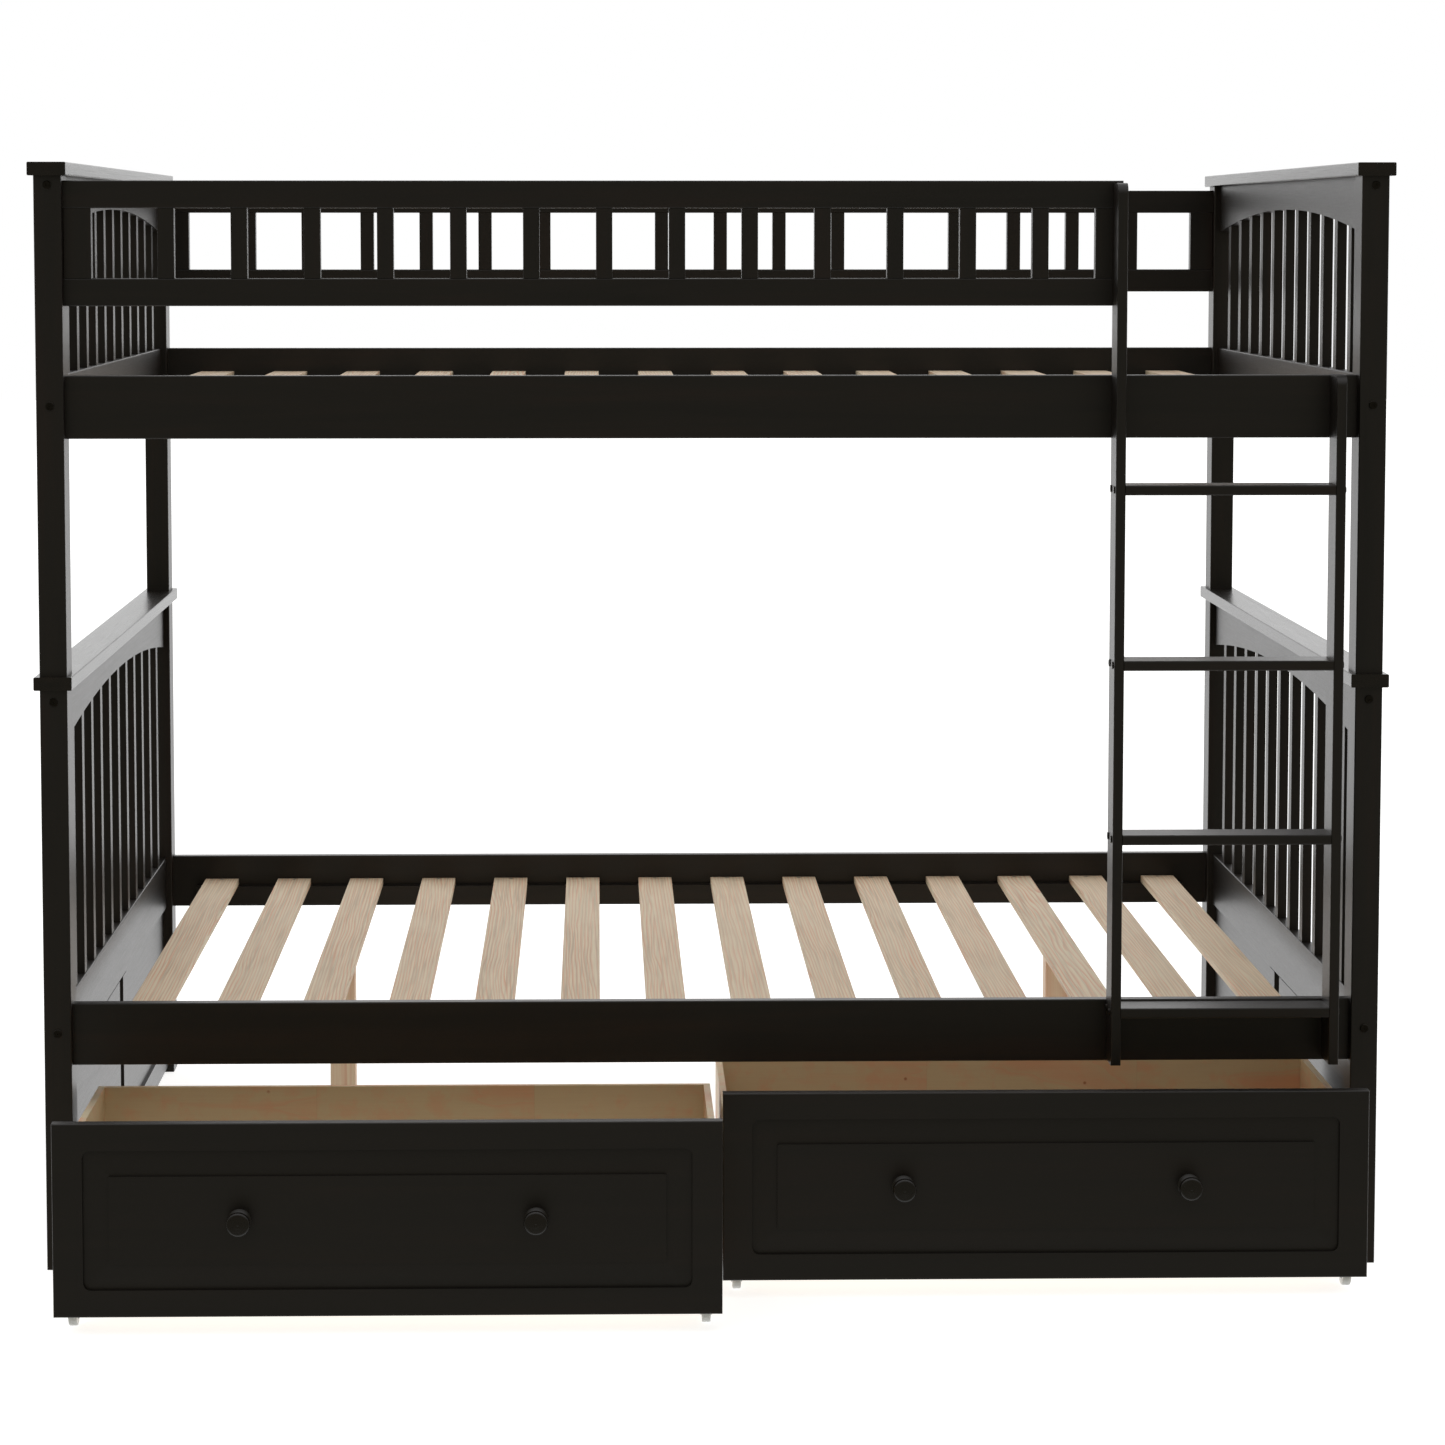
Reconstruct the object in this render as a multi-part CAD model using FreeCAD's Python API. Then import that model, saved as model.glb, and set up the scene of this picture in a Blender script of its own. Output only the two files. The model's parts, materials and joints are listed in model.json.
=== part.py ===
import FreeCAD, Part
import math
import os

# Full-over-full bunk bed with a ladder and two rolling under-bed drawers. Millimetres.
# X runs along the mattresses, with the ladder towards +X. Y runs from the open front to the back. Z is up.
# Everything is drawn with Y counted from the front faces of the front posts. save() then moves it, so that
# the origin is on the floor, in the middle of the footprint with the drawers where they rest.

V = FreeCAD.Vector
X_AXIS = V(1, 0, 0)
Y_AXIS = V(0, 1, 0)
Z_AXIS = V(0, 0, 1)
SIDES = (("left", -1), ("right", 1))

# ---- driving dimensions: frame -------------------------------------------------------------------
CLEAR_LENGTH = 1929.0          # between the posts' inner faces: a 1905 mattress and 24 to spare
BED_DEPTH = 1444.0             # front face of the front posts to back face of the back posts
TOTAL_HEIGHT = 1665.0          # floor to the top of the upper caps
POST_WIDTH = 41.0              # along X
POST_DEPTH = 57.0              # along Y
LOWER_POST_TOP = 880.5
CAP_THICKNESS = 20.0
CAP_OVERHANG = 8.0
EDGE_RADIUS = 2.0              # rounding along the grain of every painted board
CUT_MARGIN = 1.0               # how far a cutting shape stands out of what it cuts
LOWER_RAIL_Z = 309.5           # underside of the lower bed's rails
UPPER_RAIL_Z = 1254.5          # underside of the upper bed's rails
RAIL_HEIGHT = 94.0
RAIL_THICKNESS = 20.0

# ---- driving dimensions: end panels --------------------------------------------------------------
ARCH_END_HEIGHT = 84.0         # height of the arched rail where it meets the posts
ARCH_MIDDLE_HEIGHT = 46.0      # and in the middle of its span
SPINDLE_COUNT = 11
SPINDLE_WIDTH = 25.0           # along Y
SPINDLE_THICKNESS = 15.0       # along X
SPINDLE_EDGE_RADIUS = 0.8
TENON_LENGTH = 12.0
TENON_SHOULDER = 3.0           # how much smaller a tenon is than its piece, on each side
SKIRT_FLOOR_GAP = 12.0
SKIRT_FRONT_LENGTH = 617.0     # solid board behind the front post
SKIRT_STILE_WIDTH = 46.0       # also the open slot in front of it and the bottom rail's height
SKIRT_PANEL_THICKNESS = 8.0
SKIRT_TONGUE = 5.0             # how far the thin panel stands in its grooves

# ---- driving dimensions: slats, ledgers and centre legs ------------------------------------------
SLAT_COUNT = 14
SLAT_WIDTH = 61.6
SLAT_THICKNESS = 12.0
SLAT_PITCH = 134.3
SLAT_END_GAP = 2.0             # between a slat's end and the side rail
SLAT_EDGE_RADIUS = 1.0
DECK_ABOVE_RAIL_UNDERSIDE = 51.5
LEDGER_HEIGHT = 34.0
LEDGER_THICKNESS = 20.0
LEDGER_END_GAP = 44.5          # leaves the barrel nuts at the rail's ends free
LEG_SECTION = 42.0
LEG_SLATS = (2, 11)            # the slats, counted from 0, that stand on a centre leg

# ---- driving dimensions: guard rails -------------------------------------------------------------
GUARD_TOP = 1638.0
GUARD_RAIL_HEIGHT = 41.0
GUARD_WINDOW_HEIGHT = 104.0
GUARD_END_STILE = 41.0
GUARD_UPRIGHT_WIDTH = 24.4
GUARD_UPRIGHT_PITCH = 108.4
BACK_UPRIGHT_COUNT = 16
FRONT_UPRIGHT_COUNT = 13
FRONT_GUARD_END_X = 611.0      # the front guard stops here, behind the ladder's left stile
GUARD_TENON_LENGTH = 10.0

# ---- driving dimensions: ladder ------------------------------------------------------------------
STILE_THICKNESS = 15.0         # along X
STILE_DEPTH = 60.0             # along Y
LEFT_STILE_X = 595.5
RIGHT_STILE_X = 923.5
STILE_FOOT_Z = 314.5
LEFT_STILE_TOP = 1634.0
RIGHT_STILE_TOP = 1350.0
STILE_NOSE_RADIUS = 16.0       # of the round at the front of a stile's top end
RUNG_THICKNESS = 15.0
RUNG_TOPS = (401.0, 663.0, 925.0, 1187.0)
RUNG_SCREW_SPREAD = 17.0       # from the middle of the rung's depth

# ---- driving dimensions: fasteners ---------------------------------------------------------------
BOLT_RADIUS = 3.0
BOLT_HEAD_RADIUS = 6.5
BOLT_HEAD_HEIGHT = 2.2
BOLT_HEAD_CHAMFER = 0.7
SOCKET_RADIUS = 2.3            # corner radius of the hexagon socket
SOCKET_DEPTH = 1.5
HOLE_PLAY = 0.25               # radial play of a bolt, nut or pin in its hole
NUT_RADIUS = 5.0
NUT_LENGTH = 14.0
NUT_HOLE_DEPTH = 17.0
NUT_FROM_POST = 28.0           # barrel nut's distance from the end of its rail
BOLT_PAST_NUT = 10.0
PANEL_BOLT_HEIGHTS = (361.0, 862.0, 1304.0, 1631.0)   # through the posts into the end panels' rails
RAIL_BOLT_OFFSETS = (22.0, 72.0)       # above a side rail's underside
LADDER_BOLT_HEIGHTS = (371.5, 1316.5, 1336.5)      # from behind the front rails into both stiles
LADDER_BOLT_LENGTH = 55.0
RUNG_SCREW_RADIUS = 2.5
RUNG_SCREW_LENGTH = 48.0
PIN_RADIUS = 4.0
PIN_IN_POST = 25.0
PIN_OFFSET = 12.0              # each side of the post's middle, clear of the panel bolt
SLAT_SCREW_RADIUS = 2.0
SLAT_SCREW_HEAD_RADIUS = 4.0
SLAT_SCREW_HEAD_HEIGHT = 2.0
SLAT_SCREW_LENGTH = 28.0
SCREW_PLAY = 0.1

# ---- driving dimensions: drawers -----------------------------------------------------------------
LEFT_DRAWER_X = -472.0         # middle of each drawer; they stand 6 towards the ladder side of centre
RIGHT_DRAWER_X = 484.0
LEFT_DRAWER_PULL = 353.0       # how far each front stands in front of the posts at rest
RIGHT_DRAWER_PULL = 177.0
FRONT_WIDTH = 950.0
FRONT_THICKNESS = 18.0
FRONT_BOTTOM = 26.0
FRONT_TOP = 305.0
FIELD_INSET_X = 43.0           # routed outline, from the front's ends
FIELD_INSET_Z = 39.0           # and from its top and bottom edges
FIELD_BEVEL = 37.0             # width of the sloping border inside the outline
FIELD_STEP = 5.0               # depth of the outline's step
FIELD_RISE = 4.0               # step from the bevel up to the middle field
FIELD_CORNER = 11.0
FIELD_INNER_CORNER = 3.0
BOX_BACK = 494.0               # behind the front's face
BOX_TOP = 250.0
BOX_UNDERSIDE = 44.0
BOX_INSET = 4.0                # box's side, in from the front's end
BOX_BOARD = 10.0
BOTTOM_Z = 52.0
BOTTOM_THICKNESS = 5.0
BOTTOM_GROOVE = 4.0
RUNNER_WIDTH = 30.0
KNOB_SPREAD = 210.0            # each side of the drawer's middle
KNOB_REACH = 30.0
KNOB_BASE_RADIUS = 17.0
KNOB_BASE_HEIGHT = 2.5
KNOB_NECK = (11.3, 7.0)        # radius and reach of a point on the curve from the base in to the waist
KNOB_WAIST_RADIUS = 9.5
KNOB_WAIST_AT = 11.5
KNOB_FLARE = (11.8, 17.0)      # a point on the curve from the waist out to the rim
KNOB_RIM_RADIUS = 17.3
KNOB_RIM_START = 21.5
KNOB_RIM_END = 25.0
KNOB_SHOULDER = (16.2, 27.8)   # a point on the rounding from the rim to the face
KNOB_FACE_RADIUS = 13.5
KNOB_FACE_AT = 29.0
KNOB_SCREW_RADIUS = 2.0
KNOB_SCREW_DEPTH = 16.0        # how far the screw stands in the knob
KNOB_SCREW_HEAD_RADIUS = 4.5

# ---- driving dimensions: casters -----------------------------------------------------------------
WHEEL_RADIUS = 18.0
WHEEL_WIDTH = 12.6
WHEEL_CORNER = 2.0
WHEEL_GROOVE_WIDTH = 0.8
WHEEL_GROOVE_DEPTH = 0.5
AXLE_RADIUS = 2.5
AXLE_PLAY = 0.05               # radial running clearance of a wheel on its axle
AXLE_OVERHANG = 1.0            # how far the axle stands out of the fork
CASTER_FROM_END = 22.0         # wheel's middle, in from the front's end
FRONT_CASTER_Y = 55.0          # behind the front's face
BACK_CASTER_Y = 439.0
FORK_GAP = 0.5
FORK_SHEET = 1.5
FORK_HALF_WIDTH = 8.0          # half the cheek's width along Y
PLATE_THICKNESS = 2.5
PLATE_LENGTH = 50.0
PLATE_WIDTH = 30.0

# ---- places worked out from the driving dimensions -----------------------------------------------
INNER_X = CLEAR_LENGTH / 2
OUTER_X = INNER_X + POST_WIDTH
POST_X = (INNER_X + OUTER_X) / 2
BACK_POST_Y = BED_DEPTH - POST_DEPTH
UPPER_POST_FOOT = LOWER_POST_TOP + CAP_THICKNESS
UPPER_POST_TOP = TOTAL_HEIGHT - CAP_THICKNESS
FRONT_RAIL_Y = (POST_DEPTH - RAIL_THICKNESS) / 2
FRONT_RAIL_BACK = FRONT_RAIL_Y + RAIL_THICKNESS
BACK_RAIL_Y = BED_DEPTH - FRONT_RAIL_BACK
PANEL_INNER = POST_X - RAIL_THICKNESS / 2
PANEL_OUTER = POST_X + RAIL_THICKNESS / 2
GUARD_LOWER_Z = GUARD_TOP - 2 * GUARD_RAIL_HEIGHT - GUARD_WINDOW_HEIGHT
GUARD_UPPER_Z = GUARD_TOP - GUARD_RAIL_HEIGHT
STILE_FRONT = FRONT_RAIL_Y - STILE_DEPTH
REACH_FORWARD = LEFT_DRAWER_PULL + KNOB_REACH
REACH_BACK = BED_DEPTH + CAP_OVERHANG
SHIFT_Y = (REACH_FORWARD - REACH_BACK) / 2
BEDS = (
    ("lower", LOWER_RAIL_Z, 0.0, LOWER_POST_TOP),
    ("upper", UPPER_RAIL_Z, UPPER_POST_FOOT, UPPER_POST_TOP),
)


# ---- building blocks -----------------------------------------------------------------------------
def block(x0, x1, y0, y1, z0, z1):
    return Part.makeBox(x1 - x0, y1 - y0, z1 - z0, V(x0, y0, z0))


def edges_along(solid, axis):
    """The straight edges of a solid that run along an axis."""
    found = []
    for edge in solid.Edges:
        run = edge.Vertexes[-1].Point - edge.Vertexes[0].Point
        if abs(run.dot(axis)) > 0.999 * run.Length:
            found.append(edge)
    return found


def board(x0, x1, y0, y1, z0, z1, grain, radius=EDGE_RADIUS):
    """A board whose edges along the grain are rounded over."""
    solid = block(x0, x1, y0, y1, z0, z1)
    return solid.makeFillet(radius, edges_along(solid, grain))


def rod(radius, start, direction, length):
    return Part.makeCylinder(radius, length, start, direction)


def mirrored(x0, x1, side):
    """The two X limits of something drawn on the right, put on the given side."""
    return sorted((side * x0, side * x1))


def cut_all(solid, tools):
    """Cuts the solid with the tools that reach it."""
    near = [tool for tool in tools if tool.BoundBox.intersect(solid.BoundBox)]
    if not near:
        return solid
    return solid.cut(near).Solids[0]


def save(node, solids):
    shape = Part.makeCompound(solids) if len(solids) > 1 else solids[0].copy()
    shape.translate(V(0, SHIFT_Y, 0))
    shape.exportStep("parts/%s.step" % node)


# ---- fasteners -----------------------------------------------------------------------------------
bolts = []
nuts = []
shank_holes = []
holes = []       # every hole of a bolt, nut or pin, cut from the wooden pieces that it reaches


def add_bolt(seat, direction, length, radius=BOLT_RADIUS):
    """A button-head bolt with a hexagon socket, its head on the seat and its shank along direction."""
    head_size = BOLT_HEAD_RADIUS * radius / BOLT_RADIUS
    head = rod(head_size, seat - direction * BOLT_HEAD_HEIGHT, direction, BOLT_HEAD_HEIGHT)
    outer_rim = min(head.Edges, key=lambda e: (e.CenterOfMass - seat).dot(direction))
    head = head.makeChamfer(BOLT_HEAD_CHAMFER, [outer_rim])
    across = Z_AXIS if abs(direction.z) < 0.5 else X_AXIS
    side = direction.cross(across)
    centre = seat - direction * BOLT_HEAD_HEIGHT
    corners = []
    for k in range(6):
        turn = math.radians(60 * k)
        spoke = across * math.cos(turn) + side * math.sin(turn)
        corners.append(centre + spoke * SOCKET_RADIUS)
    corners.append(corners[0])
    socket = Part.Face(Part.makePolygon(corners)).extrude(direction * SOCKET_DEPTH)
    shank = rod(radius, seat, direction, length)
    bolts.append(head.cut(socket).fuse(shank).removeSplitter())
    hole = rod(radius + HOLE_PLAY, seat, direction, length + HOLE_PLAY)
    shank_holes.append(hole)
    holes.append(hole)


def add_nut(centre, axis, mouth_distance):
    """A barrel nut across a bolt, in a blind hole that opens mouth_distance along the axis."""
    start = centre - axis * (NUT_LENGTH / 2)
    nuts.append(rod(NUT_RADIUS, start, axis, NUT_LENGTH))
    mouth = centre + axis * mouth_distance
    holes.append(rod(NUT_RADIUS + HOLE_PLAY, mouth, axis * -1, NUT_HOLE_DEPTH))


def thread_nuts():
    """Opens each barrel nut for the bolt that passes through it."""
    for k, nut in enumerate(nuts):
        nuts[k] = cut_all(nut, shank_holes)


def end_panel_bolts():
    length = POST_DEPTH + NUT_FROM_POST + BOLT_PAST_NUT
    for _, side in SIDES:
        for face_y, inward in ((0.0, 1), (BED_DEPTH, -1)):
            for z in PANEL_BOLT_HEIGHTS:
                add_bolt(V(side * POST_X, face_y, z), Y_AXIS * inward, length)
                nut_y = face_y + inward * (POST_DEPTH + NUT_FROM_POST)
                add_nut(V(side * POST_X, nut_y, z), X_AXIS * side, RAIL_THICKNESS / 2)


def rail_end_bolt(side, rail_y, z):
    """One bolt through a post into the end of a long rail, with its nut put in from the rail's back."""
    middle_y = rail_y + RAIL_THICKNESS / 2
    length = POST_WIDTH + NUT_FROM_POST + BOLT_PAST_NUT
    add_bolt(V(side * OUTER_X, middle_y, z), X_AXIS * -side, length)
    add_nut(V(side * (INNER_X - NUT_FROM_POST), middle_y, z), Y_AXIS, RAIL_THICKNESS / 2)


def side_rail_bolts():
    guard_heights = (GUARD_LOWER_Z + GUARD_RAIL_HEIGHT / 2, GUARD_UPPER_Z + GUARD_RAIL_HEIGHT / 2)
    for _, side in SIDES:
        for rail_y in (FRONT_RAIL_Y, BACK_RAIL_Y):
            for _, rail_z, _, _ in BEDS:
                for offset in RAIL_BOLT_OFFSETS:
                    rail_end_bolt(side, rail_y, rail_z + offset)
            at_ladder = side > 0 and rail_y == FRONT_RAIL_Y
            for z in () if at_ladder else guard_heights:
                rail_end_bolt(side, rail_y, z)


def ladder_bolts():
    guard_heights = (GUARD_LOWER_Z + GUARD_RAIL_HEIGHT / 2, GUARD_UPPER_Z + GUARD_RAIL_HEIGHT / 2)
    left_heights = LADDER_BOLT_HEIGHTS + guard_heights
    for stile_x, heights in ((LEFT_STILE_X, left_heights), (RIGHT_STILE_X, LADDER_BOLT_HEIGHTS)):
        for z in heights:
            seat = V(stile_x + STILE_THICKNESS / 2, FRONT_RAIL_BACK, z)
            add_bolt(seat, Y_AXIS * -1, LADDER_BOLT_LENGTH)


def rung_screws():
    middle_y = STILE_FRONT + STILE_DEPTH / 2
    outer_faces = ((LEFT_STILE_X, 1), (RIGHT_STILE_X + STILE_THICKNESS, -1))
    for top in RUNG_TOPS:
        for face_x, inward in outer_faces:
            for spread in (-RUNG_SCREW_SPREAD, RUNG_SCREW_SPREAD):
                seat = V(face_x, middle_y + spread, top - RUNG_THICKNESS / 2)
                add_bolt(seat, X_AXIS * inward, RUNG_SCREW_LENGTH, RUNG_SCREW_RADIUS)


def stacking_pins():
    """Two steel pins at each corner hold the upper bed's posts on the lower bed's caps."""
    pins = []
    for _, side in SIDES:
        for middle_y in (POST_DEPTH / 2, BED_DEPTH - POST_DEPTH / 2):
            for offset in (-PIN_OFFSET, PIN_OFFSET):
                foot = V(side * POST_X + offset, middle_y, LOWER_POST_TOP - PIN_IN_POST)
                length = CAP_THICKNESS + 2 * PIN_IN_POST
                pins.append(rod(PIN_RADIUS, foot, Z_AXIS, length))
                holes.append(rod(PIN_RADIUS + HOLE_PLAY, foot, Z_AXIS, length))
    return pins


# ---- posts and caps ------------------------------------------------------------------------------
def posts():
    for bed, _, foot, top in BEDS:
        for name, side in SIDES:
            x0, x1 = mirrored(INNER_X, OUTER_X, side)
            for end, y0 in (("front", 0.0), ("back", BACK_POST_Y)):
                post = board(x0, x1, y0, y0 + POST_DEPTH, foot, top, Z_AXIS)
                save("%s_%s_%s_post" % (bed, end, name), [cut_all(post, holes)])


def caps():
    for bed, _, _, top in BEDS:
        for name, side in SIDES:
            x0, x1 = mirrored(INNER_X - CAP_OVERHANG, OUTER_X + CAP_OVERHANG, side)
            cap = board(x0, x1, -CAP_OVERHANG, BED_DEPTH + CAP_OVERHANG, top, top + CAP_THICKNESS, Y_AXIS)
            save("%s_%s_cap" % (bed, name), [cut_all(cap, holes)])


# ---- end panels ----------------------------------------------------------------------------------
def arch_height(y):
    """How far below the cap the arched rail's underside is at y."""
    half_span = BED_DEPTH / 2 - POST_DEPTH
    rise = ARCH_END_HEIGHT - ARCH_MIDDLE_HEIGHT
    radius = (half_span ** 2 + rise ** 2) / (2 * rise)
    from_middle = y - BED_DEPTH / 2
    drop = radius - math.sqrt(radius ** 2 - from_middle ** 2)
    return ARCH_MIDDLE_HEIGHT + drop


def arched_rail(x0, x1, top):
    front = POST_DEPTH
    back = BACK_POST_Y
    middle = BED_DEPTH / 2
    corners = [
        V(x0, front, top - ARCH_END_HEIGHT),
        V(x0, front, top),
        V(x0, back, top),
        V(x0, back, top - ARCH_END_HEIGHT),
    ]
    lines = [Part.makeLine(corners[k], corners[k + 1]) for k in range(3)]
    arch = Part.Arc(corners[3], V(x0, middle, top - ARCH_MIDDLE_HEIGHT), corners[0]).toShape()
    return Part.Face(Part.Wire(lines + [arch])).extrude(X_AXIS * (x1 - x0))


def spindle_and_tenon(x_middle, y_middle, z0, z1, arch):
    """One slat of an end panel, its shoulder cut to the arch, and the bar that makes its two tenons."""
    half_x = SPINDLE_THICKNESS / 2
    half_y = SPINDLE_WIDTH / 2
    bar = board(
        x_middle - half_x, x_middle + half_x, y_middle - half_y, y_middle + half_y, z0, z1, Z_AXIS,
        SPINDLE_EDGE_RADIUS,
    )
    bar = bar.cut(arch).Solids[0]
    half_x = half_x - TENON_SHOULDER
    half_y = half_y - TENON_SHOULDER
    tenon = block(
        x_middle - half_x,
        x_middle + half_x,
        y_middle - half_y,
        y_middle + half_y,
        z0 - TENON_LENGTH,
        z1 - arch_height(y_middle) + TENON_LENGTH,
    )
    return bar.fuse(tenon).removeSplitter(), tenon


def end_panels():
    """Arched top rail, spindles and cross rail at each end of each bed."""
    clear = BED_DEPTH - 2 * POST_DEPTH
    gap = (clear - SPINDLE_COUNT * SPINDLE_WIDTH) / (SPINDLE_COUNT + 1)
    for bed, rail_z, _, top in BEDS:
        spindles = []
        for name, side in SIDES:
            x0, x1 = mirrored(PANEL_INNER, PANEL_OUTER, side)
            arch = arched_rail(x0, x1, top)
            rail_top = rail_z + RAIL_HEIGHT
            cross_rail = board(x0, x1, POST_DEPTH, BACK_POST_Y, rail_z, rail_top, Y_AXIS)
            tenons = []
            for k in range(SPINDLE_COUNT):
                y_middle = POST_DEPTH + gap + SPINDLE_WIDTH / 2 + k * (gap + SPINDLE_WIDTH)
                spindle, tenon = spindle_and_tenon(side * POST_X, y_middle, rail_top, top, arch)
                spindles.append(spindle)
                tenons.append(tenon)
            save("%s_%s_arched_rail" % (bed, name), [cut_all(arch, tenons + holes)])
            save("%s_%s_cross_rail" % (bed, name), [cut_all(cross_rail, tenons + holes)])
        save("%s_spindles" % bed, spindles)


def skirts():
    """Below each lower cross rail: a solid board at the front, and a framed thin panel at the back."""
    boards = []
    panels = []
    top = LOWER_RAIL_Z
    slot_y = POST_DEPTH + SKIRT_FRONT_LENGTH
    stile_y = slot_y + SKIRT_STILE_WIDTH
    panel_y = stile_y + SKIRT_STILE_WIDTH
    rail_top = SKIRT_FLOOR_GAP + SKIRT_STILE_WIDTH
    for _, side in SIDES:
        x0, x1 = mirrored(PANEL_INNER, PANEL_OUTER, side)
        half = SKIRT_PANEL_THICKNESS / 2
        panel = block(
            side * POST_X - half, side * POST_X + half,
            panel_y - SKIRT_TONGUE, BACK_POST_Y,
            rail_top - SKIRT_TONGUE, top,
        )
        front_board = block(x0, x1, POST_DEPTH, slot_y, SKIRT_FLOOR_GAP, top)
        stile = block(x0, x1, stile_y, panel_y, SKIRT_FLOOR_GAP, top)
        bottom_rail = block(x0, x1, panel_y, BACK_POST_Y, SKIRT_FLOOR_GAP, rail_top)
        boards += [front_board, stile.cut(panel).Solids[0], bottom_rail.cut(panel).Solids[0]]
        panels.append(panel)
    save("skirt_boards", boards)
    save("skirt_panels", panels)


# ---- side rails, ledgers, slats and legs ---------------------------------------------------------
def slat_x(k):
    return (k - (SLAT_COUNT - 1) / 2) * SLAT_PITCH


def side_rails():
    for bed, rail_z, _, _ in BEDS:
        for end, y0 in (("front", FRONT_RAIL_Y), ("back", BACK_RAIL_Y)):
            rail = board(-INNER_X, INNER_X, y0, y0 + RAIL_THICKNESS, rail_z, rail_z + RAIL_HEIGHT, X_AXIS)
            save("%s_%s_side_rail" % (bed, end), [cut_all(rail, holes)])


def slat_screw(x, y, top):
    """A countersunk screw, flush with the slat, and the same shape with a little play for its hole."""
    pair = []
    for play in (0.0, SCREW_PLAY):
        head = rod(SLAT_SCREW_HEAD_RADIUS + play, V(x, y, top), Z_AXIS * -1, SLAT_SCREW_HEAD_HEIGHT + play)
        shank = rod(SLAT_SCREW_RADIUS + play, V(x, y, top), Z_AXIS * -1, SLAT_SCREW_LENGTH + play)
        pair.append(head.fuse(shank).removeSplitter())
    return pair


def slat_decks():
    ledgers = []
    screws = []
    y0 = FRONT_RAIL_BACK + SLAT_END_GAP
    y1 = BACK_RAIL_Y - SLAT_END_GAP
    ledger_front = (FRONT_RAIL_BACK, FRONT_RAIL_BACK + LEDGER_THICKNESS)
    ledger_back = (BACK_RAIL_Y - LEDGER_THICKNESS, BACK_RAIL_Y)
    ledger_end = INNER_X - LEDGER_END_GAP
    for bed, rail_z, _, _ in BEDS:
        top = rail_z + DECK_ABOVE_RAIL_UNDERSIDE
        underside = top - SLAT_THICKNESS
        slats = []
        screw_holes = []
        for k in range(SLAT_COUNT):
            x = slat_x(k)
            slat = board(
                x - SLAT_WIDTH / 2, x + SLAT_WIDTH / 2, y0, y1, underside, top, Y_AXIS, SLAT_EDGE_RADIUS
            )
            own_holes = []
            for y in (sum(ledger_front) / 2, sum(ledger_back) / 2):
                screw, hole = slat_screw(x, y, top)
                screws.append(screw)
                own_holes.append(hole)
            slats.append(cut_all(slat, own_holes))
            screw_holes += own_holes
        for ledger_y in (ledger_front, ledger_back):
            ledger = block(-ledger_end, ledger_end, *ledger_y, underside - LEDGER_HEIGHT, underside)
            ledgers.append(cut_all(ledger, screw_holes))
        save("%s_slats" % bed, slats)
    save("slat_ledgers", ledgers)
    save("slat_screws", screws)


def centre_legs():
    top = LOWER_RAIL_Z + DECK_ABOVE_RAIL_UNDERSIDE - SLAT_THICKNESS
    half = LEG_SECTION / 2
    middle_y = BED_DEPTH / 2
    legs = []
    for k in LEG_SLATS:
        x = slat_x(k)
        legs.append(board(x - half, x + half, middle_y - half, middle_y + half, 0.0, top, Z_AXIS))
    save("centre_support_legs", legs)


# ---- guard rails ---------------------------------------------------------------------------------
def guard(name, x0, x1, y0, upright_count):
    """Two long rails with a row of uprights tenoned between them and a wide stile at each end."""
    y1 = y0 + RAIL_THICKNESS
    window_bottom = GUARD_LOWER_Z + GUARD_RAIL_HEIGHT
    lower = board(x0, x1, y0, y1, GUARD_LOWER_Z, window_bottom, X_AXIS)
    upper = board(x0, x1, y0, y1, GUARD_UPPER_Z, GUARD_TOP, X_AXIS)
    first = -(BACK_UPRIGHT_COUNT - 1) / 2 * GUARD_UPRIGHT_PITCH
    spans = [(x0, x0 + GUARD_END_STILE), (x1 - GUARD_END_STILE, x1)]
    for k in range(upright_count):
        middle = first + k * GUARD_UPRIGHT_PITCH
        spans.append((middle - GUARD_UPRIGHT_WIDTH / 2, middle + GUARD_UPRIGHT_WIDTH / 2))
    uprights = []
    tenons = []
    for left, right in spans:
        body = board(left, right, y0, y1, window_bottom, GUARD_UPPER_Z, Z_AXIS, EDGE_RADIUS / 2)
        tenon = block(
            left + TENON_SHOULDER, right - TENON_SHOULDER,
            y0 + 2 * TENON_SHOULDER, y1 - 2 * TENON_SHOULDER,
            window_bottom - GUARD_TENON_LENGTH, GUARD_UPPER_Z + GUARD_TENON_LENGTH,
        )
        tenon = cut_all(tenon, holes)
        tenons.append(tenon)
        uprights.append(body.fuse(tenon).removeSplitter().Solids[0])
    save("%s_guard_rails" % name, [cut_all(lower, tenons + holes), cut_all(upper, tenons + holes)])
    save("%s_guard_uprights" % name, uprights)


# ---- ladder --------------------------------------------------------------------------------------
def stile(x0, top):
    """A ladder stile, its top end rounded at the front."""
    x1 = x0 + STILE_THICKNESS
    solid = board(x0, x1, STILE_FRONT, FRONT_RAIL_Y, STILE_FOOT_Z, top, Z_AXIS)
    outside_x = x0 - CUT_MARGIN
    nose_y = STILE_FRONT + STILE_NOSE_RADIUS
    nose_z = top - STILE_NOSE_RADIUS
    corner = block(outside_x, x1 + CUT_MARGIN, STILE_FRONT - CUT_MARGIN, nose_y, nose_z, top + CUT_MARGIN)
    nose = rod(STILE_NOSE_RADIUS, V(outside_x, nose_y, nose_z), X_AXIS, STILE_THICKNESS + 2 * CUT_MARGIN)
    return cut_all(solid.cut(corner.cut(nose)).Solids[0], holes)


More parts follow.
